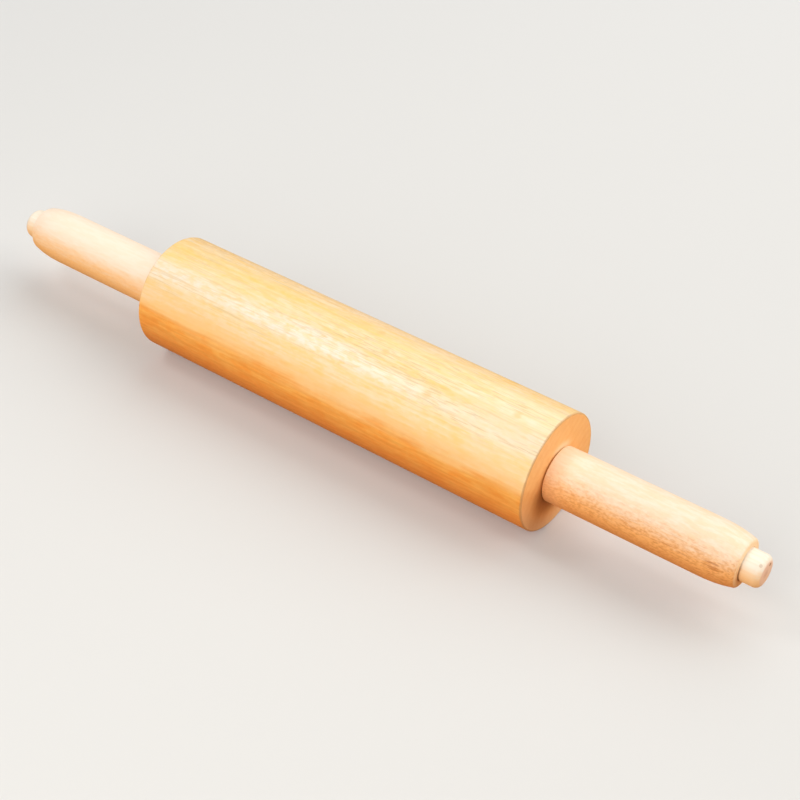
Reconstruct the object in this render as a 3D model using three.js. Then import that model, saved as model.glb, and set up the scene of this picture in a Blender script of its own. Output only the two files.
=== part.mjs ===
// A wooden rolling pin. A heavy barrel turns freely on a dowel axle that runs right through it,
// and a turned handle is glued on each end of the axle, with the dowel's end standing out.
// Millimetres. +X runs along the pin to the near handle and +Z is up. The origin lies under the
// middle of the barrel, on the surface that the pin rests on.

import * as THREE from 'three';

// Barrel
const barrel_diameter = 60;
const barrel_length = 236;
const barrel_rim_round = 0.8;         // radius of the sanded edge round each end face
const barrel_bore_ease = 0.8;         // chamfer at each mouth of the bore

// Axle
const axle_diameter = 16;
const axle_stand_out = 9.6;           // how far the dowel shows beyond each handle
const axle_end_round = 3.2;           // radius of the eased edge of the dowel's ends

// Handles
const handle_diameter = 28;           // at the grip
const handle_length = 97.2;
const handle_root_round = 0.8;        // radius of the edge next to the barrel
const handle_nose_length = 22;        // the outer stretch, over which the handle curves in
const handle_nose_drop = 1.9;         // how far the radius falls on the way to the end's edge
const handle_end_round = 1.8;         // radius of the edge round the end
const handle_bore_ease = 0.5;         // chamfer at each mouth of the bore

// Clearances
const running_clearance = 0.4;        // between the axle and the barrel's bore, on the radius
const glue_clearance = 0.3;           // between the axle and a handle's bore, on the radius
const end_gap = 0.6;                  // between each face of the barrel and its handle

// Fineness of the turned surfaces
const barrel_sides = 64;
const handle_sides = 48;
const edge_steps = 3;
const nose_steps = 8;

// Sizes that follow from those above
const barrel_radius = barrel_diameter / 2;
const barrel_half_length = barrel_length / 2;
const axle_radius = axle_diameter / 2;
const handle_radius = handle_diameter / 2;
const handle_root = barrel_half_length + end_gap;
const axle_half_length = handle_root + handle_length + axle_stand_out;

// An outline is drawn as radius against place along the axis, from the lower end upwards on the
// outside. These two add the rounded outer edges of an end face.

function round_lower_edge(outline, radius, end, round) {
  outline.lineTo(radius - round, end);
  outline.absarc(radius - round, end + round, round, -Math.PI / 2, 0, false);
}

function round_upper_edge(outline, radius, end, round) {
  outline.lineTo(radius, end - round);
  outline.absarc(radius - round, end - round, round, 0, Math.PI / 2, false);
}

// A bore, drawn down from the upper face to the lower one, with a chamfer at both mouths. It
// closes the outline, whose first point is on the edge of the lower mouth.

function start_at_bore(outline, bore_radius, lower, ease) {
  outline.moveTo(bore_radius + ease, lower);
}

function close_with_bore(outline, bore_radius, lower, upper, ease) {
  outline.lineTo(bore_radius + ease, upper);
  outline.lineTo(bore_radius, upper - ease);
  outline.lineTo(bore_radius, lower + ease);
  outline.closePath();
}

// A handle's outer stretch follows a cubic. It leaves the grip without a corner, curves in more
// and more, and ends at the rounded edge of the end face.

function draw_nose(outline) {
  const nose_start = handle_length - handle_nose_length;
  const curve_length = handle_nose_length - handle_end_round;
  outline.lineTo(handle_radius, nose_start);
  for (let step = 1; step <= nose_steps; step += 1) {
    const share = step / nose_steps;
    const radius = handle_radius - handle_nose_drop * share ** 3;
    outline.lineTo(radius, nose_start + curve_length * share);
  }
}

function barrel_outline() {
  const bore_radius = axle_radius + running_clearance;
  const outline = new THREE.Path();
  start_at_bore(outline, bore_radius, -barrel_half_length, barrel_bore_ease);
  round_lower_edge(outline, barrel_radius, -barrel_half_length, barrel_rim_round);
  round_upper_edge(outline, barrel_radius, barrel_half_length, barrel_rim_round);
  close_with_bore(outline, bore_radius, -barrel_half_length, barrel_half_length, barrel_bore_ease);
  return outline;
}

// A handle is drawn from its root, at 0, to its outer end.

function handle_outline() {
  const bore_radius = axle_radius + glue_clearance;
  const outline = new THREE.Path();
  start_at_bore(outline, bore_radius, 0, handle_bore_ease);
  round_lower_edge(outline, handle_radius, 0, handle_root_round);
  draw_nose(outline);
  round_upper_edge(outline, handle_radius - handle_nose_drop, handle_length, handle_end_round);
  close_with_bore(outline, bore_radius, 0, handle_length, handle_bore_ease);
  return outline;
}

function axle_outline() {
  const outline = new THREE.Path();
  outline.moveTo(0, -axle_half_length);
  round_lower_edge(outline, axle_radius, -axle_half_length, axle_end_round);
  round_upper_edge(outline, axle_radius, axle_half_length, axle_end_round);
  outline.lineTo(0, axle_half_length);
  return outline;
}

// Each piece is turned from its outline. The flats of the many-sided solid touch the true circle,
// and the lathe starts half a side round, so that a flat lies underneath and carries the pin.

function turn(outline, sides, name, material) {
  const half_side = Math.PI / sides;
  const corner_over_flat = 1 / Math.cos(half_side);
  const points = outline.getPoints(edge_steps).map(
    (point) => new THREE.Vector2(point.x * corner_over_flat, point.y),
  );
  const geometry = new THREE.LatheGeometry(points, sides, half_side);
  const mesh = new THREE.Mesh(geometry, material);
  mesh.name = name;
  return mesh;
}

function wood(color, roughness) {
  return new THREE.MeshStandardMaterial({ color, roughness, metalness: 0 });
}

const lacquered_barrel_wood = wood(0xf3cf94, 0.38);
const sanded_handle_wood = wood(0xf3d2a4, 0.6);
const white_dowel_wood = wood(0xf6e4c6, 0.65);

// The lathe turns about its own Y. The group lays that axis along +X, at the barrel's radius
// above the resting surface.

const axis_line = new THREE.Group();
axis_line.rotation.z = -Math.PI / 2;
axis_line.position.z = barrel_radius;

axis_line.add(turn(barrel_outline(), barrel_sides, 'barrel', lacquered_barrel_wood));
axis_line.add(turn(axle_outline(), handle_sides, 'axle', white_dowel_wood));

const near_handle = turn(handle_outline(), handle_sides, 'near_handle', sanded_handle_wood);
near_handle.position.y = handle_root;
axis_line.add(near_handle);

// The far handle is the same turning, swung end for end.
const far_handle = turn(handle_outline(), handle_sides, 'far_handle', sanded_handle_wood);
far_handle.rotation.z = Math.PI;
far_handle.position.y = -handle_root;
axis_line.add(far_handle);

const rolling_pin = new THREE.Group();
rolling_pin.add(axis_line);

export default rolling_pin;
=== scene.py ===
# %% [markdown]
# # A wooden rolling pin
#
# The pin is four turned pieces of pale wood: a lacquered barrel, a dowel axle that runs right
# through it, and two sanded handles glued on the dowel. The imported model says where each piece
# is and how thick it is. This lesson turns a fine mesh for each piece, grows a wood grain
# through it, and lights it softly from above.

import math

import bmesh
import bpy
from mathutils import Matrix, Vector


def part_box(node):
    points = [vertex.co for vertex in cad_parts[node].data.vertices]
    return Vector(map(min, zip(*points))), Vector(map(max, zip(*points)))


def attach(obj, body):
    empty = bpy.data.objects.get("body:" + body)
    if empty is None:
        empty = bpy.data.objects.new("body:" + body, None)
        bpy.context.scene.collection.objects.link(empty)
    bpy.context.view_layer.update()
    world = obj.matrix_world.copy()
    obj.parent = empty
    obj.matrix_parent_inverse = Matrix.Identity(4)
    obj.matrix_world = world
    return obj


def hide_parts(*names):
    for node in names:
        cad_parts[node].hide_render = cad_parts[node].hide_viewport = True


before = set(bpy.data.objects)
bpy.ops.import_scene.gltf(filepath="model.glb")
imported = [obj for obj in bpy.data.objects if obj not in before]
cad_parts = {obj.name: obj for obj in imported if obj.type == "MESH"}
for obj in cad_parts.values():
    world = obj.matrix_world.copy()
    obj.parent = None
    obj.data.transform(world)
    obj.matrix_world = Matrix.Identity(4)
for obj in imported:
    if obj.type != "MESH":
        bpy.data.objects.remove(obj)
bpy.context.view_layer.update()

# %% [markdown]
# ## Sizes from the frame
#
# Lengths are in metres. What the frame can say, such as the barrel's thickness and the places
# where the handles begin and end, is read from the nodes' boxes, so the fine pieces can't
# drift away from the solids. Only what a box can't show, such as the radius of a rounded
# edge, is a value of its own.

# %% Read the sizes
barrel_low, barrel_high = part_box("barrel")
axle_low, axle_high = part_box("axle")
handle_low, handle_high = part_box("near_handle")

AXIS_HEIGHT = (barrel_low.z + barrel_high.z) / 2
PIN_MIDDLE = Vector((0, 0, AXIS_HEIGHT))
BARREL_RADIUS = (barrel_high.z - barrel_low.z) / 2
BARREL_HALF = barrel_high.x
AXLE_RADIUS = (axle_high.z - axle_low.z) / 2
AXLE_HALF = axle_high.x
HANDLE_RADIUS = (handle_high.z - handle_low.z) / 2
HANDLE_ROOT = handle_low.x
HANDLE_END = handle_high.x

print("barrel", round(2 * BARREL_RADIUS, 4), "x", round(2 * BARREL_HALF, 4))
print("handle", round(2 * HANDLE_RADIUS, 4), "from", round(HANDLE_ROOT, 4), "to", round(HANDLE_END, 4))

# %% [markdown]
# ## The camera
#
# Blender keeps a thing's data, such as a mesh, a lens or a lamp, apart from the object that puts
# it somewhere. One function makes such an object, and another aims a camera or a lamp, because
# both look along their own -Z.
#
# The camera comes first, because every later choice is judged through it. Its direction and
# place were worked out from the barrel's outline: how fast the barrel narrows gives the
# distance, and the roundness of its end face gives the angle.

# %% Place the camera
CAMERA_AZIMUTH = 36.86
CAMERA_ELEVATION = 39.92
CAMERA_FROM_BARREL = Vector((0.4035, -0.5013, 0.5226))
CAMERA_LENS = 75.6
CAMERA_SENSOR = 36.0


def add_object(name, data):
    """A new object in the scene that shows this data."""
    made = bpy.data.objects.new(name, data)
    bpy.context.scene.collection.objects.link(made)
    return made


def aim(thing, place, looking):
    """Puts a camera or a lamp at a place and turns it to look in one direction."""
    thing.location = place
    thing.rotation_mode = "QUATERNION"
    thing.rotation_quaternion = looking.to_track_quat("-Z", "Y")
    print(thing.name, "at", [round(v, 3) for v in thing.location])


def towards_camera(azimuth, elevation):
    """The direction from the pin to a camera at these angles, in degrees."""
    turn, rise = math.radians(azimuth), math.radians(elevation)
    return Vector((math.sin(turn) * math.cos(rise), -math.cos(turn) * math.cos(rise), math.sin(rise)))


camera = add_object("camera", bpy.data.cameras.new("camera"))
camera.data.lens = CAMERA_LENS
camera.data.sensor_width = CAMERA_SENSOR
aim(camera, PIN_MIDDLE + CAMERA_FROM_BARREL, -towards_camera(CAMERA_AZIMUTH, CAMERA_ELEVATION))
bpy.context.scene.camera = camera

# %% [markdown]
# ## Turning on a lathe
#
# Every piece of the pin came off a lathe, so every piece here is an outline swept once round
# the pin's axis. Blender's Screw modifier can do that, and so can bmesh.ops.spin. Writing the
# rings by hand is as short, closes the mesh without doubled points, and puts a ring exactly
# where an edge begins and ends, which keeps the highlights crisp. An outline is a list of
# points, each the place along the axis and the radius.

# %% A lathe
TURNED_SIDES = 224
ROUND_STEPS = 8
SHARP_EDGE = math.radians(32)


def round_edge(place, radius, size, start, stop):
    """A rounded edge of an outline, its centre at (place, radius), from one angle to another."""
    angles = [math.radians(start + (stop - start) * step / ROUND_STEPS) for step in range(ROUND_STEPS + 1)]
    return [(place + size * math.cos(a), radius + size * math.sin(a)) for a in angles]


def add_ring(mesh, place, radius):
    """One ring of points round the axis, or one point where the radius is 0."""
    if radius == 0:
        return [mesh.verts.new((place, 0, AXIS_HEIGHT))]
    turns = [2 * math.pi * side / TURNED_SIDES for side in range(TURNED_SIDES)]
    return [
        mesh.verts.new((place, radius * math.cos(turn), AXIS_HEIGHT + radius * math.sin(turn)))
        for turn in turns
    ]


def join_rings(mesh, one, other):
    """The band of faces between two rings, or a fan where one of them is a point."""
    for side in range(TURNED_SIDES):
        following = (side + 1) % TURNED_SIDES
        if len(one) == 1:
            mesh.faces.new((one[0], other[side], other[following]))
        elif len(other) == 1:
            mesh.faces.new((one[side], other[0], one[following]))
        else:
            mesh.faces.new((one[side], other[side], other[following], one[following]))


def turned(name, outline, closed):
    """A turned piece. A closed outline goes round a bore, and an open one starts and ends on the axis."""
    mesh = bmesh.new()
    rings = [add_ring(mesh, place, radius) for place, radius in outline]
    pairs = list(zip(rings, rings[1:]))
    if closed:
        pairs.append((rings[-1], rings[0]))
    for one, other in pairs:
        join_rings(mesh, one, other)
    bmesh.ops.recalc_face_normals(mesh, faces=mesh.faces)
    data = bpy.data.meshes.new(name)
    mesh.to_mesh(data)
    mesh.free()
    data.shade_smooth()
    data.set_sharp_from_angle(angle=SHARP_EDGE)
    print(name, "has", len(data.vertices), "points and", len(data.polygons), "faces")
    return add_object(name, data)


# %% [markdown]
# ## The barrel's shape
#
# The barrel is a plain cylinder. What makes it read as wood off a lathe, and not as a
# primitive, is its edges: the maker held sandpaper to each end for a moment, which leaves a
# round under a millimetre, and eased the mouths of the bore.
#
# A cylinder primitive with a bevel would do as well. The outline keeps all four pieces alike.

# %% Turn the barrel
BARREL_RIM_ROUND = 0.0008
BARREL_BORE_EASE = 0.0008
RUNNING_CLEARANCE = 0.0004


def barrel_outline():
    bore = AXLE_RADIUS + RUNNING_CLEARANCE
    rim_place = BARREL_HALF - BARREL_RIM_ROUND
    rim_radius = BARREL_RADIUS - BARREL_RIM_ROUND
    return [
        (BARREL_HALF - BARREL_BORE_EASE, bore),
        (BARREL_BORE_EASE - BARREL_HALF, bore),
        (-BARREL_HALF, bore + BARREL_BORE_EASE),
        *round_edge(-rim_place, rim_radius, BARREL_RIM_ROUND, 180, 90),
        *round_edge(rim_place, rim_radius, BARREL_RIM_ROUND, 90, 0),
        (BARREL_HALF, bore + BARREL_BORE_EASE),
    ]


barrel = turned("turned_barrel", barrel_outline(), closed=True)

# %% [markdown]
# ## The handles' shape
#
# A handle is a plain grip whose outer end curves in. The curve is a cubic: it leaves the grip
# without a corner, as a gouge does, and turns in more and more towards the rounded edge of the
# end. It could be modelled with a subdivision surface and three loops, but the formula gives
# the same line as the solid and needs no tuning. The far handle is the near one with every
# place negated. The glued joint on the dowel is tight, a tenth of a millimetre, so that no gap
# shows round it but the thin line of the eased mouth.

# %% Turn the handles
HANDLE_ROOT_ROUND = 0.0008
HANDLE_NOSE_LENGTH = 0.022
HANDLE_NOSE_DROP = 0.0019
HANDLE_END_ROUND = 0.0018
HANDLE_BORE_EASE = 0.0003
GLUE_CLEARANCE = 0.0001
NOSE_STEPS = 40


def nose_curve():
    """The outer stretch of a handle, from the grip to where the edge of its end begins."""
    start = HANDLE_END - HANDLE_NOSE_LENGTH
    length = HANDLE_NOSE_LENGTH - HANDLE_END_ROUND
    shares = [step / NOSE_STEPS for step in range(NOSE_STEPS)]
    return [(start + length * share, HANDLE_RADIUS - HANDLE_NOSE_DROP * share**3) for share in shares]


def handle_outline(end):
    """end is 1 for the near handle and -1 for the far one."""
    bore = AXLE_RADIUS + GLUE_CLEARANCE
    root_place = HANDLE_ROOT + HANDLE_ROOT_ROUND
    root_radius = HANDLE_RADIUS - HANDLE_ROOT_ROUND
    end_place = HANDLE_END - HANDLE_END_ROUND
    end_radius = HANDLE_RADIUS - HANDLE_NOSE_DROP - HANDLE_END_ROUND
    points = [
        (HANDLE_END - HANDLE_BORE_EASE, bore),
        (HANDLE_ROOT + HANDLE_BORE_EASE, bore),
        (HANDLE_ROOT, bore + HANDLE_BORE_EASE),
        *round_edge(root_place, root_radius, HANDLE_ROOT_ROUND, 180, 90),
        *nose_curve(),
        *round_edge(end_place, end_radius, HANDLE_END_ROUND, 90, 0),
        (HANDLE_END, bore + HANDLE_BORE_EASE),
    ]
    return [(end * place, radius) for place, radius in points]


near_handle = turned("turned_near_handle", handle_outline(1), closed=True)
far_handle = turned("turned_far_handle", handle_outline(-1), closed=True)

# %% [markdown]
# ## The axle's shape
#
# The axle is a bought dowel, cut to length and eased at both ends. Most of it is hidden, but
# the whole dowel is made, because the pin comes apart in the reader's mind as it does on a
# bench.

# %% Turn the axle
AXLE_END_ROUND = 0.0032


def axle_outline():
    end_place = AXLE_HALF - AXLE_END_ROUND
    end_radius = AXLE_RADIUS - AXLE_END_ROUND
    return [
        (-AXLE_HALF, 0),
        *round_edge(-end_place, end_radius, AXLE_END_ROUND, 180, 90),
        *round_edge(end_place, end_radius, AXLE_END_ROUND, 90, 0),
        (AXLE_HALF, 0),
    ]


axle = turned("turned_axle", axle_outline(), closed=False)

# %% [markdown]
# ## Writing a finish as arithmetic
#
# A wood grain is a sum of simple fields: bands of tone, rings round the tree's heart, fibres,
# and vessels. Nodes can hold such a sum, but a long chain of them is hard to read and harder
# to change. So one small class wraps a socket and lets Python's own signs add the Math nodes.

# %% Numbers that change over a surface
class Field:
    """One socket that holds a number for each point of a surface, with the usual arithmetic."""

    def __init__(self, nodes, socket):
        self.nodes = nodes
        self.socket = socket

    def maths(self, operation, first, second=0.0):
        return self.nodes.add("ShaderNodeMath", {"operation": operation}, {0: first, 1: second})

    def __add__(self, other):
        return self.maths("ADD", self, other)

    def __sub__(self, other):
        return self.maths("SUBTRACT", self, other)

    def __rsub__(self, other):
        return self.maths("SUBTRACT", other, self)

    def __mul__(self, other):
        return self.maths("MULTIPLY", self, other)

    def __truediv__(self, other):
        return self.maths("DIVIDE", self, other)

    def __rtruediv__(self, other):
        return self.maths("DIVIDE", other, self)

    def __pow__(self, other):
        return self.maths("POWER", self, other)

    def __rpow__(self, other):
        return self.maths("POWER", other, self)

    def __abs__(self):
        return self.maths("ABSOLUTE", self)

    __radd__ = __add__
    __rmul__ = __mul__

    def between(self, low, high):
        """0 at low, 1 at high, and smooth between. With low above high it falls."""
        settings = {"interpolation_type": "SMOOTHSTEP"}
        return self.nodes.add("ShaderNodeMapRange", settings, {0: self, 1: low, 2: high, 3: 0.0, 4: 1.0})

    def above(self, least):
        """The same field, squeezed so that it runs from this least value to 1."""
        return self * (1 - least) + least

    def output(self, name):
        """Another output of the node that this field comes from."""
        return Field(self.nodes, self.socket.node.outputs[name])


def diagonal(one, other):
    """The distance that two distances at right angles make together."""
    return (one**2.0 + other**2.0) ** 0.5


# %% [markdown]
# A second class adds the nodes. One method adds any kind: it takes the node's type, then its
# settings, which can change what sockets the node has, and then the sockets' values or links.
# Colours can't go through a Math node, which turns them grey, so they are mixed. A finish is
# a pile of layers, each laid over those before it, as stain and wear lie on wood. The same class
# serves the materials and the room's own light.

# %% Nodes of any kind
class Nodes:
    """The nodes of one material, or of the world."""

    def __init__(self, tree):
        self.tree = tree

    def add(self, kind, settings, sockets, output=0):
        """Adds a node: its settings first, then each socket's value or link."""
        made = self.tree.nodes.new(kind)
        for name, value in settings.items():
            setattr(made, name, value)
        for socket, value in sockets.items():
            self.feed(made.inputs[socket], value)
        return Field(self, made.outputs[output])

    def feed(self, socket, value):
        """Links what changes over a surface to a socket, and sets a plain value on the socket itself."""
        if isinstance(value, Field):
            self.tree.links.new(value.socket, socket)
        else:
            socket.default_value = value

    def mix(self, share, one, other):
        """The first colour where share is 0, and the second where it is 1."""
        return self.add("ShaderNodeMix", {"data_type": "RGBA"}, {0: share, 6: one, 7: other}, output=2)

    def lay_over(self, colour, layers):
        """Lays colours over one. A layer is where it lies, how strongly it covers, and its colour."""
        for place, strength, layer_colour in layers:
            colour = self.mix(place * strength, colour, layer_colour)
        return colour

    def mix_shaders(self, share, one, other):
        """The first shader where share is 0, and the second where it is 1."""
        return self.add("ShaderNodeMixShader", {}, {0: share, 1: one, 2: other})

    def seen_by_camera(self, seen, thrown):
        """One shader for the camera's own rays, and another for the light that falls on the pin."""
        camera_ray = self.add("ShaderNodeLightPath", {}, {}, output="Is Camera Ray")
        return self.mix_shaders(camera_ray, thrown, seen)


# %% [markdown]
# Every grain is worked out from the point in space, and never from a flat map, so the lines run
# through a piece and its end shows the ends of the same lines. Object coordinates give that
# point in the pin's own frame, and they go round with the barrel when it turns.
#
# A noise is named here by three numbers: how long its patches are along the grain, how wide they
# are across it, and a seed, which picks another part of the same endless noise.

# %% A finish that is being written
class Finish(Nodes):
    """A material, with the point in space that its grain is worked out from."""

    def __init__(self, name, seed=0.0):
        self.material = bpy.data.materials.new(name)
        self.material.use_nodes = True
        super().__init__(self.material.node_tree)
        self.seed = seed
        self.shader = self.tree.nodes["Principled BSDF"]
        self.point = self.add("ShaderNodeTexCoord", {}, {}, output="Object")
        self.along = self.add("ShaderNodeSeparateXYZ", {}, {0: self.point})
        self.across = self.along.output("Y")
        self.up = self.along.output("Z") - AXIS_HEIGHT
        self.from_axis = diagonal(self.across, self.up)

    def stretched(self, length, width, seed=0.0):
        """The point, counted in steps of one length along the grain and one width across it."""
        counts = (1 / length, 1 / width, 1 / width)
        scaled = self.add("ShaderNodeVectorMath", {"operation": "MULTIPLY"}, {0: self.point, 1: counts})
        shift = (seed, -seed, seed)
        return self.add("ShaderNodeVectorMath", {"operation": "ADD"}, {0: scaled, 1: shift})

    def noise(self, patch, detail=2.0):
        """Soft noise round 0.5, in patches of this length and width."""
        length, width, seed = patch
        point = self.stretched(length, width, self.seed + seed)
        return self.add("ShaderNodeTexNoise", {}, {"Vector": point, "Scale": 1.0, "Detail": detail})

    def on_side(self, degrees):
        """1 on one side of a piece, 0 a quarter turn from it and -1 opposite, as a cosine does.

        0 degrees is the back, 90 the top and 180 the front.
        """
        turn = math.radians(degrees)
        return (self.across * math.cos(turn) + self.up * math.sin(turn)) / self.from_axis


# %% [markdown]
# ## What wood is made of
#
# All four pieces are wood, so they share the parts of a grain and mix them differently.
#
# * Patches are changes of tone: fibres, grains, streaks, or bands as long as a hand.
# * Wander moves the border between two tones to and fro, so that it isn't ruled.
# * Rings are the years' growth, shells round the heart of the tree. The heart lies outside the
#   piece, so the shells cross an end as arcs and run down the sides as nearly straight lines.
# * Vessels are the tubes that carried the sap. A tube that the lathe cuts open along its side
#   is a short dark dash, and one that the saw cuts across is a dot. A Voronoi field, stretched
#   along the grain, gives a spindle in each cell, but they look laid out in rows. The peaks of
#   a stretched noise differ in length and strength, as real ones do.

# %% Patches, wander, rings and vessels
EVEN_SPREAD = (0.36, 0.64)
VESSEL_SOFTNESS = 0.09


def patches(finish, patch, limits=EVEN_SPREAD, detail=2.0):
    """0 where the noise is below the first limit, 1 where it is above the second, and soft between."""
    return finish.noise(patch, detail).between(*limits)


def wander(finish, patch, reach, detail=2.0):
    """A drift to and fro, half of the reach each way at most."""
    return (finish.noise(patch, detail) - 0.5) * reach


def rings(finish, heart, spacing, drift, patch):
    """heart is the place of the tree's heart, across and up from the axis."""
    heart_across, heart_up = heart
    from_heart = diagonal(finish.across - heart_across, finish.up - heart_up)
    turns = (from_heart + wander(finish, patch, drift)) / spacing
    wave = finish.add("ShaderNodeMath", {"operation": "SINE"}, {0: turns * (2 * math.pi)})
    return (wave * 0.5 + 0.5) ** 2.0


def vessels(finish, patch, rarity):
    """Dashes in patches of this length and width. They are many at a rarity of 0.55, and few at 0.75."""
    return finish.noise(patch, detail=0.0).between(rarity, rarity + VESSEL_SOFTNESS)


# %% [markdown]
# A knot or a speck sits at one place. It is easiest to say where as a distance along the pin and
# a side, in degrees, and to let the distance from there draw the mark. Counting that distance in
# lengths along the grain and widths across it draws a dash in place of a dot.

# %% Places on a turned surface
def on_surface(along, side, radius):
    """The point at this place along the pin and on this side, in degrees as for on_side."""
    turn = math.radians(side)
    return PIN_MIDDLE + Vector((along, radius * math.cos(turn), radius * math.sin(turn)))


def from_place(finish, place, length=1.0, width=1.0):
    """How far each point is from one place, in metres, or in these lengths and widths."""
    counted_place = (place.x / length, place.y / width, place.z / width)
    sockets = {0: finish.stretched(length, width), 1: counted_place}
    return finish.add("ShaderNodeVectorMath", {"operation": "DISTANCE"}, sockets, output="Value")


# %% [markdown]
# Two masks say where the lathe and the saw changed the wood. End grain drinks more oil and
# lacquer, so an end is deeper in tone and duller, and the normal in the piece's own frame
# tells an end from a side. A sharp edge picks up a thin dark line in use, and noise breaks it.

# %% End grain and worn edges
CUT_LIMITS = (0.6, 0.95)
EDGE_PATCH = (0.004, 0.004, 2.3)
EDGE_BREAKS_AT = 0.6
EDGE_RAGGEDNESS = 0.8
EDGE_CORE = 0.3


def end_grain(finish, limits=CUT_LIMITS):
    """The limits are how far the surface has turned to face the end, from 0 to 1."""
    normal = finish.add("ShaderNodeSeparateXYZ", {}, {0: finish.point.output("Normal")})
    return abs(normal).between(*limits)


def edge_line(finish, place, radius, width):
    """1 on a thin line round both ends of a piece, at this place and radius."""
    distance = diagonal(abs(finish.along) - place, finish.from_axis - radius)
    ragged = (finish.noise(EDGE_PATCH) - EDGE_BREAKS_AT) * (width * EDGE_RAGGEDNESS)
    return (distance + ragged).between(width, width * EDGE_CORE)


# %% [markdown]
# Two steps are the same for every piece: the fields are joined to the shader, and the solid that the piece
# stands for is hidden and the piece is hung on the body it moves with. A height is in metres, and a bump
# turns it into shading without moving the surface.

# %% Lay a finish on its surface
def lay(finish, colour, roughness, height):
    """Joins the three fields that a wood always has to the shader."""
    bump = finish.add("ShaderNodeBump", {}, {"Strength": 1.0, "Distance": 1.0, "Height": height})
    for socket, field in {"Base Color": colour, "Roughness": roughness, "Normal": bump}.items():
        finish.feed(finish.shader.inputs[socket], field)
    print(finish.material.name, "is written in", len(finish.tree.nodes), "nodes")
    return finish.material


def dress(piece, material, node, body):
    """Gives a fine piece its finish, hides the solid it stands for, and hangs it on the body it moves
    with.
    """
    piece.data.materials.append(material)
    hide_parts(node)
    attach(piece, body)


# %% [markdown]
# ## The barrel's finish
#
# The barrel is pale straight-grained wood under a satin lacquer. Its top has golden bands, and the upper
# front has short grey-brown lines and a few amber spots. A whitish strip on the upper front is a painted
# highlight, the lacquer's shine painted into the colour.
#
# Four colours, laid one over the other, would give flat stripes. Each layer here is a share between 0 and
# 1, made of a side of the barrel, a noise stretched along the grain, or both, and it mixes one colour over
# those before it. The order is first the wood with its painted highlight, then the flecks in it, then the
# honey with painted warm light and shade in it, and last the painted light and shadow on the ends and the
# wear.
#
# The names that follow say what a number is. A SIDE is in degrees and a REACH is the two cosines
# between which a mask sets in round that side. An ALONG is two places along the pin.

# %% The barrel's pale wood
BARREL_CREAM = (0.95, 0.755, 0.51, 1)
BARREL_GOLD = (0.96, 0.62, 0.18, 1)
# Amber is the wood's blotches, and it is also painted warm light where the front warms towards the honey.
BARREL_AMBER_AND_GLOW = (1.00, 0.61, 0.23, 1)
# A painted highlight: the pale colour of the lacquer's shine, laid as a strip and at the near end.
BARREL_PAINTED_HIGHLIGHT = (0.92, 0.86, 0.78, 1)
BARREL_GREY = (0.70, 0.54, 0.28, 1)
GOLDEN_SIDE = 85.0
GOLDEN_REACH = (0.975, 0.999)
HIGHLIGHT_SIDE = 121.0
HIGHLIGHT_REACH = (0.970, 0.999)
HIGHLIGHT_FADE_ALONG = (0.10, -0.02)
HIGHLIGHT_WANDER = (0.05, 0.006, 61.0)
HIGHLIGHT_GRAINS = (0.0050, 0.0018, 67.0)
HIGHLIGHT_GRAIN_LIMITS = (0.34, 0.62)
FLECK_SIDE = 106.0
GREY_REACH = (0.72, 0.92)
GREY_LINES = (0.026, 0.0008, 37.0)
GREY_LIMITS = (0.54, 0.68)
NEAR_END_REACH = (0.80, 0.96)
NEAR_END_ALONG = (0.04, BARREL_HALF)
BLOTCHES = (0.012, 0.006, 53.0)
BLOTCH_LIMITS = (0.62, 0.74)


def barrel_painted_highlight_strip(finish):
    """Painted highlight: a paler strip where the lacquer's shine lies, broken into short grains, which
    fades towards the near end.
    """
    side = finish.on_side(HIGHLIGHT_SIDE) + wander(finish, HIGHLIGHT_WANDER, reach=0.04, detail=3.0)
    grains = patches(finish, HIGHLIGHT_GRAINS, HIGHLIGHT_GRAIN_LIMITS)
    fade = finish.along.between(*HIGHLIGHT_FADE_ALONG)
    return side.between(*HIGHLIGHT_REACH) * fade.above(0.4) * grains.above(0.3)


def barrel_grey_lines(finish):
    """Short fine lines beside the painted highlight strip."""
    lines = patches(finish, GREY_LINES, GREY_LIMITS, detail=1.0)
    return lines * finish.on_side(FLECK_SIDE).between(*GREY_REACH)


def barrel_near_end_highlight(finish):
    """Painted highlight: the upper front towards the near end, painted a little paler where the shine
    spreads.
    """
    return finish.along.between(*NEAR_END_ALONG) * finish.on_side(FLECK_SIDE).between(*NEAR_END_REACH)


def barrel_pale_colour(finish, tone):
    """The wood before the honey: cream where tone is 0, gold where it is 1, and what lies over it."""
    layers = [
        (finish.on_side(GOLDEN_SIDE).between(*GOLDEN_REACH), 0.30, BARREL_GOLD),
        (patches(finish, BLOTCHES, BLOTCH_LIMITS), 0.35, BARREL_AMBER_AND_GLOW),
        # painted highlight: the shine's strip, and its spread towards the near end
        (barrel_painted_highlight_strip(finish), 0.75, BARREL_PAINTED_HIGHLIGHT),
        (barrel_near_end_highlight(finish), 0.24, BARREL_PAINTED_HIGHLIGHT),
        (barrel_grey_lines(finish), 0.42, BARREL_GREY),
    ]
    return finish.lay_over(finish.mix(tone, BARREL_CREAM, BARREL_GOLD), layers)


# %% [markdown]
# The amber spots are the marks of pin knots just under the surface. They could come from a
# noise as well, but a spot draws the eye, so each one has its place. The open vessels are left
# to chance, and a mask says where they may show.

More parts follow.
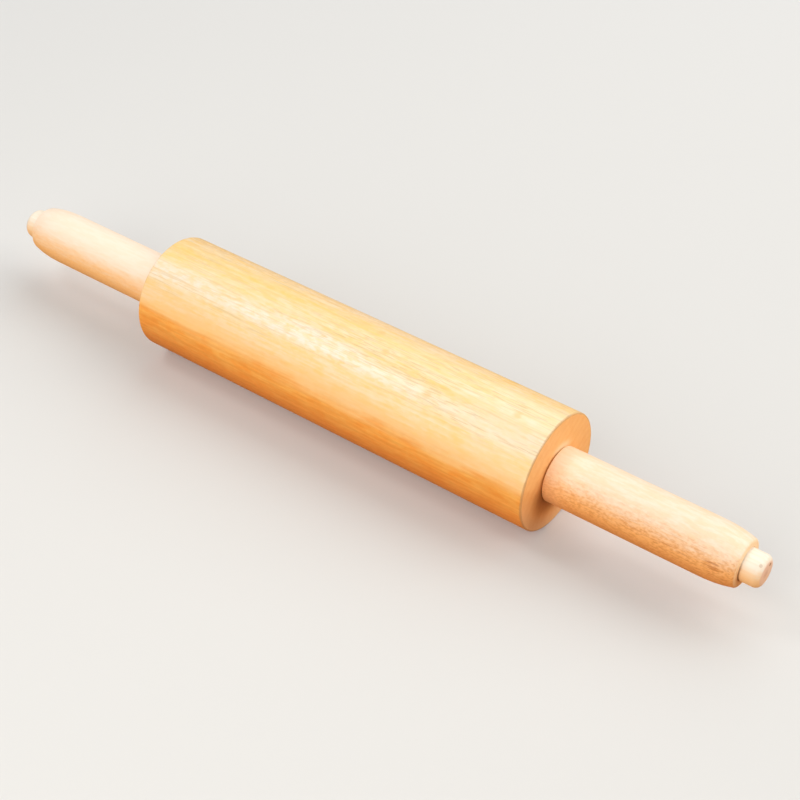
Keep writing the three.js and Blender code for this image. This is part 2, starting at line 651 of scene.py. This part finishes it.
# %% The barrel's spots and vessels
BARREL_SPOT = (0.94, 0.54, 0.19, 1)
BARREL_VESSEL = (0.56, 0.42, 0.20, 1)
SPOT_PLACES = ((0.013, 80), (0.023, 100), (0.055, 121), (0.099, 102))
SPOT_SIZE = 0.0032
SPOT_CORE = 0.2
SPOT_WANDER = (0.004, 0.002, 43.0)
VESSEL_PATCH = (0.008, 0.0006, 11.3)
VESSEL_RARITY = 0.56
VESSEL_FIELD = (0.07, 0.014, 17.9)
VESSEL_FIELD_LIMITS = (0.40, 0.56)
VESSEL_REACH = (0.80, 0.93)
VESSEL_ALONG = (-0.10, 0.04)


def barrel_spots(finish):
    """Soft spots with a ragged edge. Their distances are moved by the noise, and then drawn."""
    ragged = wander(finish, SPOT_WANDER, reach=SPOT_SIZE)
    places = [on_surface(along, side, BARREL_RADIUS) for along, side in SPOT_PLACES]
    distances = [from_place(finish, place) + ragged for place in places]
    return sum(away.between(SPOT_SIZE, SPOT_SIZE * SPOT_CORE) for away in distances)


def barrel_vessels(finish):
    """Dashes on the upper front, more of them towards the near end."""
    field = patches(finish, VESSEL_FIELD, VESSEL_FIELD_LIMITS)
    near = finish.along.between(*VESSEL_ALONG).above(0.2)
    field = field * near * finish.on_side(FLECK_SIDE).between(*VESSEL_REACH)
    return vessels(finish, VESSEL_PATCH, VESSEL_RARITY) * field


# %% [markdown]
# The lower front was cut nearer the heart of the tree, where the wood is honey coloured, and pale streaks
# reach into the honey along the grain. The honey is also painted warm light, the glow that a warm floor
# throws up, and the deepest tone underneath is painted shade as well as heartwood. So there are three
# masks: the wood first warms, then turns to honey, and is deepest underneath.

# %% The barrel's honey side
BARREL_HONEY_AND_GLOW = (1.00, 0.51, 0.105, 1)
BARREL_ORANGE_AND_GLOW = (0.98, 0.38, 0.050, 1)
BARREL_DEEP_AND_SHADE = (0.87, 0.305, 0.050, 1)
BARREL_DEEP_FIBRE = (0.68, 0.215, 0.028, 1)
HONEY_AND_GLOW_SIDE = 231.5
WARM_REACH = (-0.08, 0.46)
WARM_STREAKS = (0.06, 0.004, 23.0)
HONEY_REACH = (0.27, 0.55)
HONEY_STREAKS = (0.04, 0.003, 27.0)
HONEY_DRIFT = (0.06, 0.03, 29.0)
HONEY_SLANT = 0.2
HEART_AND_SHADE_REACH = (0.50, 0.96)


def barrel_warmth_and_glow(finish):
    """How far the wood has warmed towards the honey, partly wood and partly painted warm light from below,
    which sets in slowly.
    """
    streaks = wander(finish, WARM_STREAKS, reach=0.5, detail=3.0)
    return (finish.on_side(HONEY_AND_GLOW_SIDE) + streaks).between(*WARM_REACH)


def barrel_honey_and_glow(finish):
    """The honey wood with painted warm light in it, whose border is clear but not straight, and slants a
    little.
    """
    streaks = wander(finish, HONEY_STREAKS, reach=0.30, detail=3.0)
    drift = wander(finish, HONEY_DRIFT, reach=0.7) - finish.along * HONEY_SLANT
    return (finish.on_side(HONEY_AND_GLOW_SIDE) + streaks + drift).between(*HONEY_REACH)


def heart_and_shade_side(finish):
    """The lowest part of the front, which lay nearest the heart of the tree, and which is darkened with
    painted shade as well.
    """
    return finish.on_side(HONEY_AND_GLOW_SIDE).between(*HEART_AND_SHADE_REACH)


# %% [markdown]
# The end faces show end grain and have marks of their own. A paler ring round the top of the handle's root
# and a paler band along the lower edge are painted light, thrown back by the handle and the floor. Under
# the root a brown patch is painted shadow, the handle's shadow on the face. The arris has a thin worn
# line, which is plainer at the near end.

# %% The barrel's end faces and arris
BARREL_END = (0.99, 0.54, 0.20, 1)
BARREL_END_DEEP_AND_SHADE = (0.90, 0.42, 0.13, 1)
# The next colour is painted light on the end faces, and the one after it is painted shadow under the
# handle's root.
BARREL_PAINTED_LIGHT = (1.00, 0.74, 0.45, 1)
BARREL_PAINTED_SHADOW = (0.36, 0.13, 0.025, 1)
BARREL_ARRIS = (0.50, 0.28, 0.12, 1)
HIGH_SIDE = 78.0
HIGH_REACH = (0.80, 1.0)
LOW_SIDE = 250.0
LOW_REACH = (0.1, 0.9)
PAINTED_LIGHT_RADIUS = 0.0180
SHADED_RADIUS = 0.0240
WORN_WIDTH = 0.0010
WORN_ALONG = (-0.1, 0.1)


def barrel_end_colour(finish, tone):
    """An end face, from a light to a deep tone of end grain, with painted light round the top of the root
    and along the lower edge, and painted shadow under the root.
    """
    above = finish.on_side(HIGH_SIDE).between(*HIGH_REACH)
    below = finish.on_side(LOW_SIDE).between(*LOW_REACH)
    near_root = finish.from_axis.between(PAINTED_LIGHT_RADIUS, HANDLE_RADIUS)
    near_edge = finish.from_axis.between(PAINTED_LIGHT_RADIUS, BARREL_RADIUS)
    shaded = finish.from_axis.between(SHADED_RADIUS, HANDLE_RADIUS)
    layers = [
        # painted light above the root and along the lower edge, then the handle's painted shadow
        (near_root * above, 1.0, BARREL_PAINTED_LIGHT),
        (near_edge * below, 0.45, BARREL_PAINTED_LIGHT),
        (shaded * below, 0.85, BARREL_PAINTED_SHADOW),
    ]
    return finish.lay_over(finish.mix(tone, BARREL_END, BARREL_END_DEEP_AND_SHADE), layers)


def barrel_worn_arris(finish):
    line = edge_line(finish, BARREL_HALF, BARREL_RADIUS, WORN_WIDTH)
    return line * finish.along.between(*WORN_ALONG).above(0.2)


# %% [markdown]
# The lacquer is Blender's coat, a clear layer over the wood. It has sunk into the fibres a
# little, so the coat is uneven and its shine looks granular. End grain drank it up, and it has
# worn off the arris. A real film of lacquer could be a second mesh, but it is thinner than a
# hair, and the coat keeps the piece one solid.

# %% Finish the barrel
BARREL_GROWTH = (0.84, 0.50, 0.18, 1)
BARREL_BANDS = (0.11, 0.0075, 1.7)
BARREL_BAND_LIMITS = (0.36, 0.66)
BARREL_STREAKS = (0.011, 0.0040, 13.1)
BARREL_FIBRES = (0.021, 0.0015, 7.7)
BARREL_GRAINS = (0.0050, 0.0024, 19.0)
TREE_HEART = (0.045, -0.046)
RING_SPACING = 0.0042
RING_DRIFT = 0.006
RING_WANDER = (0.12, 0.03, 3.1)
SUNKEN = (0.0035, 0.0013, 41.0)
SUNKEN_LIMITS = (0.34, 0.62)
COAT_THINNEST = 0.25
COAT_GAIN = 0.35
COAT_ROUGHNESS = 0.23
BARREL_ROUGHNESS = 0.42
FIBRE_RELIEF = 0.00001
VESSEL_DEPTH = 0.00003
SUNKEN_RELIEF = 0.000006


def barrel_finish():
    finish = Finish("lacquered barrel wood")
    bands = patches(finish, BARREL_BANDS, BARREL_BAND_LIMITS, detail=3.0)
    streaks = patches(finish, BARREL_STREAKS)
    fibres = patches(finish, BARREL_FIBRES)
    grains = patches(finish, BARREL_GRAINS)
    growth = rings(finish, TREE_HEART, RING_SPACING, RING_DRIFT, RING_WANDER)
    dashes = barrel_vessels(finish)
    honey = barrel_honey_and_glow(finish)
    ends = end_grain(finish)
    worn = barrel_worn_arris(finish)

    tone = bands * 0.25 + streaks * 0.24 + fibres * 0.29 + grains * 0.22
    honey_tone = streaks * 0.5 + grains * 0.5
    # On the ends the honey deepens the tone at the lower front, partly painted shade.
    end_tone = honey * 0.35 + growth * 0.18 + streaks * 0.25
    layers = [
        (barrel_spots(finish), 0.55, BARREL_SPOT),
        # The warmth, the honey and the deep tone under it are partly wood and partly painted warm light
        # and shade from below.
        (barrel_warmth_and_glow(finish), 0.85, BARREL_AMBER_AND_GLOW),
        (growth, 0.12, BARREL_GROWTH),
        (dashes, 0.42, BARREL_VESSEL),
        (honey, 0.95, finish.mix(honey_tone, BARREL_HONEY_AND_GLOW, BARREL_ORANGE_AND_GLOW)),
        (heart_and_shade_side(finish), streaks.above(0.85), BARREL_DEEP_AND_SHADE),
        (fibres * honey, 0.28, BARREL_DEEP_FIBRE),
        (ends, 0.95, barrel_end_colour(finish, end_tone)),
        (worn, 0.62, BARREL_ARRIS),
    ]
    colour = finish.lay_over(barrel_pale_colour(finish, tone), layers)

    sunken = finish.noise(SUNKEN)
    coat = sunken.between(*SUNKEN_LIMITS) * COAT_GAIN + COAT_THINNEST
    finish.feed(finish.shader.inputs["Coat Weight"], (1 - ends) * (1 - worn) * coat)
    finish.feed(finish.shader.inputs["Coat Roughness"], COAT_ROUGHNESS)
    roughness = BARREL_ROUGHNESS + fibres * 0.06 + ends * 0.15 + worn * 0.3
    height = fibres * FIBRE_RELIEF - dashes * VESSEL_DEPTH + sunken * SUNKEN_RELIEF
    return lay(finish, colour, roughness, height)


dress(barrel, barrel_finish(), "barrel", "barrel")

# %% [markdown]
# ## The handles' finish
#
# The handles are paler and have no lacquer, only sanding and a wipe of oil. Both come from
# wood with open vessels, which show as short brown dashes. The near handle has many of them
# on its lower front and towards its outer end, and three long ones lie side by side on its nose.
# The far handle was cut from calmer wood. One function finishes both, and what differs is handed to it.
# Next to the barrel the wood is a little darker: painted shade where the barrel shadows the root.

# %% The handles' dashes and roots
HANDLE_DASHES = (0.0068, 0.0005, 7.0)
HANDLE_DASH_RARITY = 0.61
LONG_DASHES = ((0.0108, 161), (0.0103, 168.5), (0.0088, 172.5))
LONG_DASH_RADIUS = HANDLE_RADIUS - HANDLE_NOSE_DROP / 4
LONG_DASH_LENGTH = 0.009
LONG_DASH_WIDTH = 0.0011
LONG_DASH_LIMITS = (0.55, 0.3)
HANDLE_ROOT_SHADE_LENGTH = 0.016


def handle_dashes(finish, tan_and_glow):
    """Open vessels, most of them on the warm lower front and towards the outer end."""
    outer = abs(finish.along).between(HANDLE_ROOT, HANDLE_END)
    return vessels(finish, HANDLE_DASHES, HANDLE_DASH_RARITY) * tan_and_glow.above(0.1) * outer.above(0.4)


def long_dashes(finish, dashes):
    """Long open vessels. Each is how far it lies in from the near handle's end, and its side."""
    places = [on_surface(HANDLE_END - inwards, side, LONG_DASH_RADIUS) for inwards, side in dashes]
    distances = [from_place(finish, place, LONG_DASH_LENGTH, LONG_DASH_WIDTH) for place in places]
    return sum(away.between(*LONG_DASH_LIMITS) for away in distances)


# Painted shade: where the barrel's shadow falls on the handle's root.
def handle_root_shade(finish):
    return abs(finish.along).between(HANDLE_ROOT + HANDLE_ROOT_SHADE_LENGTH, HANDLE_ROOT)


# %% [markdown]
# The tan on the lower front is partly the wood's own and partly painted warm light and shade from below.
# It sets in over more than half of the handle's round, and on the near handle further up than on the far
# one.

# %% Finish the handles
NEAR_TONES = ((0.94, 0.78, 0.61, 1), (0.94, 0.72, 0.50, 1), (0.97, 0.49, 0.16, 1))
FAR_TONES = ((0.96, 0.81, 0.66, 1), (0.955, 0.78, 0.61, 1), (1.00, 0.60, 0.24, 1))
HANDLE_DEEP_AND_SHADE = (0.70, 0.28, 0.080, 1)
HANDLE_FIBRE = (0.75, 0.32, 0.08, 1)
HANDLE_VESSEL = (0.54, 0.17, 0.03, 1)
HANDLE_ROOT_SHADE_COLOUR = (0.95, 0.62, 0.36, 1)
HANDLE_END_GRAIN = (0.98, 0.70, 0.40, 1)
NEAR_TAN_AND_GLOW_FROM = -0.41
FAR_TAN_AND_GLOW_FROM = -0.25
TAN_AND_GLOW_SPREAD = 1.10
HANDLE_FIBRES = (0.009, 0.0020, 3.0)
HANDLE_STREAKS = (0.006, 0.0013, 4.0)
HANDLE_DRIFT = (0.04, 0.005, 5.0)
HANDLE_MOTTLE = (0.0018, 0.0010, 9.0)
HANDLE_MOTTLE_LIMITS = (0.40, 0.66)
HANDLE_ROUGHNESS = 0.52
HANDLE_RELIEF = 0.00003


def handle_finish(name, seed, tones, tan_and_glow_from, fleck_share, dashes_on_nose=()):
    """tones are the wood's cream and sand, and the tan of its lower front, partly painted warm light.
    fleck_share says how strongly its flecks show.
    """
    cream, sand, tan = tones
    finish = Finish(name, seed)
    fibres = finish.noise(HANDLE_FIBRES, detail=3.0)
    mottle = patches(finish, HANDLE_MOTTLE, HANDLE_MOTTLE_LIMITS)
    streaks = wander(finish, HANDLE_STREAKS, reach=0.6, detail=3.0)
    drift = wander(finish, HANDLE_DRIFT, reach=0.4)
    tan_and_glow = (finish.on_side(HONEY_AND_GLOW_SIDE) + streaks + drift).between(tan_and_glow_from, tan_and_glow_from + TAN_AND_GLOW_SPREAD)
    dashes = handle_dashes(finish, tan_and_glow)
    ends = end_grain(finish)
    layers = [
        # the tan and the deep tone under it are partly wood and partly painted warm light and shade from
        # below
        (tan_and_glow, 1.0, tan),
        (heart_and_shade_side(finish), fleck_share * 0.67, HANDLE_DEEP_AND_SHADE),
        (mottle * (tan_and_glow * 0.9 + 0.06), fleck_share, HANDLE_FIBRE),
        (dashes, fleck_share * 0.6, HANDLE_VESSEL),
        (long_dashes(finish, dashes_on_nose), fleck_share * 0.8, HANDLE_VESSEL),
        # painted shade of the barrel on the root
        (handle_root_shade(finish), 0.35, HANDLE_ROOT_SHADE_COLOUR),
        (ends, 0.7, HANDLE_END_GRAIN),
    ]
    colour = finish.lay_over(finish.mix(fibres.between(*EVEN_SPREAD), cream, sand), layers)
    roughness = HANDLE_ROUGHNESS + fibres * 0.15 + ends * 0.1
    height = (fibres - mottle - dashes) * HANDLE_RELIEF
    return lay(finish, colour, roughness, height)


near_wood = handle_finish(
    "flecked handle wood", 5.3, NEAR_TONES, NEAR_TAN_AND_GLOW_FROM, fleck_share=0.75, dashes_on_nose=LONG_DASHES
)
dress(near_handle, near_wood, "near_handle", "axle_and_handles")

far_wood = handle_finish("calm handle wood", 41.9, FAR_TONES, FAR_TAN_AND_GLOW_FROM, fleck_share=0.12)
dress(far_handle, far_wood, "far_handle", "axle_and_handles")

# %% [markdown]
# ## The axle's finish
#
# The dowel is another, whiter wood, and bare, and its lower front is warmer, partly painted warm light
# from below. Its ends show pinkish end grain round a darker heart, and the near one has a small dark speck
# on the end and a faint one on the rounded edge. Where it leaves a handle, a thin brown line round it is
# painted shade in the narrow gap, darker underneath.

# %% The dowel's specks and ends
DOWEL_SPECK_AND_GAP_SHADE = (0.36, 0.19, 0.08, 1)
DOWEL_END = (0.84, 0.57, 0.42, 1)
DOWEL_HEART = (0.62, 0.34, 0.22, 1)
END_SPECK_PLACE = PIN_MIDDLE + Vector((AXLE_HALF, 0.0022, 0.0038))
SIDE_SPECK_PLACE = PIN_MIDDLE + Vector((AXLE_HALF - 0.0018, -0.0038, 0.0066))
SPECKS = ((END_SPECK_PLACE, 1.0), (SIDE_SPECK_PLACE, 0.38))
SPECK_SIZE = 0.0011
DOWEL_HEART_ACROSS = -0.0008
DOWEL_HEART_UP = 0.0004
DOWEL_HEART_WANDER = (0.003, 0.0015, 79.0)
DOWEL_HEART_RAGGED = 0.002
DOWEL_HEART_LIMITS = (0.0042, 0.0012)


def specks(finish):
    """Specks at the near end, knots as small as a pinhead: a dark one and a faint one."""
    return sum(
        from_place(finish, place).between(SPECK_SIZE, SPECK_SIZE / 2) * strength
        for place, strength in SPECKS
    )


def dowel_end_colour(finish):
    from_heart = diagonal(finish.across - DOWEL_HEART_ACROSS, finish.up - DOWEL_HEART_UP)
    ragged = finish.noise(DOWEL_HEART_WANDER) * DOWEL_HEART_RAGGED
    heart = (from_heart + ragged).between(*DOWEL_HEART_LIMITS)
    return finish.mix(heart * 0.6, DOWEL_END, DOWEL_HEART)


# %% Finish the axle
DOWEL_WHITE = (0.92, 0.86, 0.74, 1)
DOWEL_CREAM = (0.92, 0.81, 0.66, 1)
DOWEL_TAN_AND_GLOW = (0.97, 0.64, 0.32, 1)
DOWEL_FIBRES = (0.02, 0.0012, 71.0)
DOWEL_TAN_AND_GLOW_REACH = (-0.10, 1.00)
DOWEL_CUT_LIMITS = (0.86, 1.0)
GAP_SHADE_WIDTH = 0.0008
DOWEL_ROUGHNESS = 0.58
DOWEL_RELIEF = 0.00004
SPECK_DEPTH = 0.00008


def axle_finish():
    finish = Finish("white dowel wood")
    fibres = finish.noise(DOWEL_FIBRES, detail=3.0)
    dots = specks(finish)
    ends = end_grain(finish, DOWEL_CUT_LIMITS)
    tan_and_glow = (finish.on_side(HONEY_AND_GLOW_SIDE) + fibres * 0.4).between(*DOWEL_TAN_AND_GLOW_REACH)
    # Painted shade in the gap where the dowel leaves the handle, darker on the lower side.
    gap_shade = edge_line(finish, HANDLE_END, AXLE_RADIUS, GAP_SHADE_WIDTH)
    layers = [
        # the warmer lower front is partly painted warm light from below
        (tan_and_glow, 1.0, DOWEL_TAN_AND_GLOW),
        (ends, 0.9, dowel_end_colour(finish)),
        (dots, 1.0, DOWEL_SPECK_AND_GAP_SHADE),
        (gap_shade, tan_and_glow * 0.75 + 0.2, DOWEL_SPECK_AND_GAP_SHADE),
    ]
    colour = finish.lay_over(finish.mix(fibres.between(*EVEN_SPREAD), DOWEL_WHITE, DOWEL_CREAM), layers)
    roughness = DOWEL_ROUGHNESS + fibres * 0.12 + ends * 0.15
    height = fibres * DOWEL_RELIEF - dots * SPECK_DEPTH
    return lay(finish, colour, roughness, height)


dress(axle, axle_finish(), "axle", "axle_and_handles")

# %% [markdown]
# ## The floor and the light
#
# The floor is plain and pale to the camera and keeps the pin's shadow. To the pin it throws back
# warm light, which warms the underside. A lit floor alone would grow dark or show the lamps'
# edges far away, so away from the pin it passes into an even pale colour.

# %% Lay the floor
FLOOR_SIZE = 8.0
FLOOR_CORNERS = ((-1, -1), (1, -1), (1, 1), (-1, 1))
FLOOR_SEEN = (0.70, 0.70, 0.69, 1)
FLOOR_FAR_OFF = (0.84, 0.835, 0.82, 1)
FLOOR_BOUNCE = (0.45, 0.25, 0.12, 1)
FLOOR_EVENNESS = 0.10
FLOOR_EVEN_FROM = 0.30
FLOOR_EVEN_AT = 1.1


def floor_material():
    """A matt floor that turns into an even glow far off. The pin gets a warmer light from it."""
    finish = Finish("pale floor")
    finish.tree.nodes.remove(finish.shader)
    matt = finish.add("ShaderNodeBsdfDiffuse", {}, {"Color": FLOOR_SEEN})
    even = finish.add("ShaderNodeEmission", {}, {"Color": FLOOR_FAR_OFF})
    warm = finish.add("ShaderNodeBsdfDiffuse", {}, {"Color": FLOOR_BOUNCE})
    far = diagonal(finish.along, finish.across).between(FLOOR_EVEN_FROM, FLOOR_EVEN_AT)
    seen = finish.mix_shaders(far.above(FLOOR_EVENNESS), matt, even)
    surface = finish.tree.nodes["Material Output"].inputs["Surface"]
    finish.feed(surface, finish.seen_by_camera(seen, thrown=warm))
    return finish.material


floor_mesh = bpy.data.meshes.new("floor")
corners = [(x * FLOOR_SIZE / 2, y * FLOOR_SIZE / 2, 0) for x, y in FLOOR_CORNERS]
floor_mesh.from_pydata(corners, [], [(0, 1, 2, 3)])
floor = add_object("floor", floor_mesh)
floor.data.materials.append(floor_material())
print("floor", FLOOR_SIZE, "m square, even from", FLOOR_EVEN_AT, "m away")

# %% [markdown]
# Four soft lamps light the pin: a broad one in front, one above and behind, a very broad one
# from the right and behind, and a small weak one high on the left that draws the lacquer's
# shine. Each one's power was set by rendering it alone and comparing how the brightness falls
# round the barrel, which is easier than judging all of them together.

# %% Hang the lamps
FRONT_FROM = Vector((0.0, -0.86, 0.50))
FRONT_DISTANCE = 1.4
FRONT_SIZE = 1.4
FRONT_POWER = 15.0
FRONT_COLOUR = (1.0, 0.95, 0.88)
OVER_FROM = Vector((0.0, 0.62, 0.78))
OVER_DISTANCE = 1.4
OVER_SIZE = 1.4
OVER_POWER = 9.0
SIDE_FROM = Vector((0.75, 0.45, 0.50))
SIDE_DISTANCE = 3.0
SIDE_SIZE = 2.7
SIDE_POWER = 60.0
SIDE_COLOUR = (1.0, 0.94, 0.86)
SHINE_FROM = Vector((-0.46, -0.25, 0.853))
SHINE_DISTANCE = 1.3
SHINE_SIZE = 0.35
SHINE_POWER = 2.2


def soft_lamp(name, towards, distance, size, power, colour=(1, 1, 1)):
    """A square lamp that hangs in this direction from the pin and lights it."""
    lamp = add_object(name, bpy.data.lights.new(name, "AREA"))
    lamp.data.shape = "SQUARE"
    lamp.data.size = size
    lamp.data.energy = power
    lamp.data.color = colour
    aim(lamp, PIN_MIDDLE + towards.normalized() * distance, -towards)


soft_lamp("front lamp", FRONT_FROM, FRONT_DISTANCE, FRONT_SIZE, FRONT_POWER, FRONT_COLOUR)
soft_lamp("overhead lamp", OVER_FROM, OVER_DISTANCE, OVER_SIZE, OVER_POWER)
soft_lamp("side lamp", SIDE_FROM, SIDE_DISTANCE, SIDE_SIZE, SIDE_POWER, SIDE_COLOUR)
soft_lamp("shine lamp", SHINE_FROM, SHINE_DISTANCE, SHINE_SIZE, SHINE_POWER)

# %% [markdown]
# The room itself gives a little light from all sides, so that no shadow is black. The camera sees
# the floor's even colour in its place, so there is no horizon. A big sphere round the scene would
# do as well, but the world needs no mesh. The Standard view shows a colour about as it is written.

# %% Light the room
SKY_COLOUR = (1, 1, 1, 1)
SKY_STRENGTH = 0.3

world = bpy.data.worlds.new("soft room")
world.use_nodes = True
bpy.context.scene.world = world
room = Nodes(world.node_tree)
room.tree.nodes.remove(room.tree.nodes["Background"])
sky = room.add("ShaderNodeBackground", {}, {"Color": SKY_COLOUR, "Strength": SKY_STRENGTH})
backdrop = room.add("ShaderNodeBackground", {}, {"Color": FLOOR_FAR_OFF})
room.feed(room.tree.nodes["World Output"].inputs["Surface"], room.seen_by_camera(backdrop, thrown=sky))

bpy.context.scene.view_settings.view_transform = "Standard"
print("the room glows at", SKY_STRENGTH)
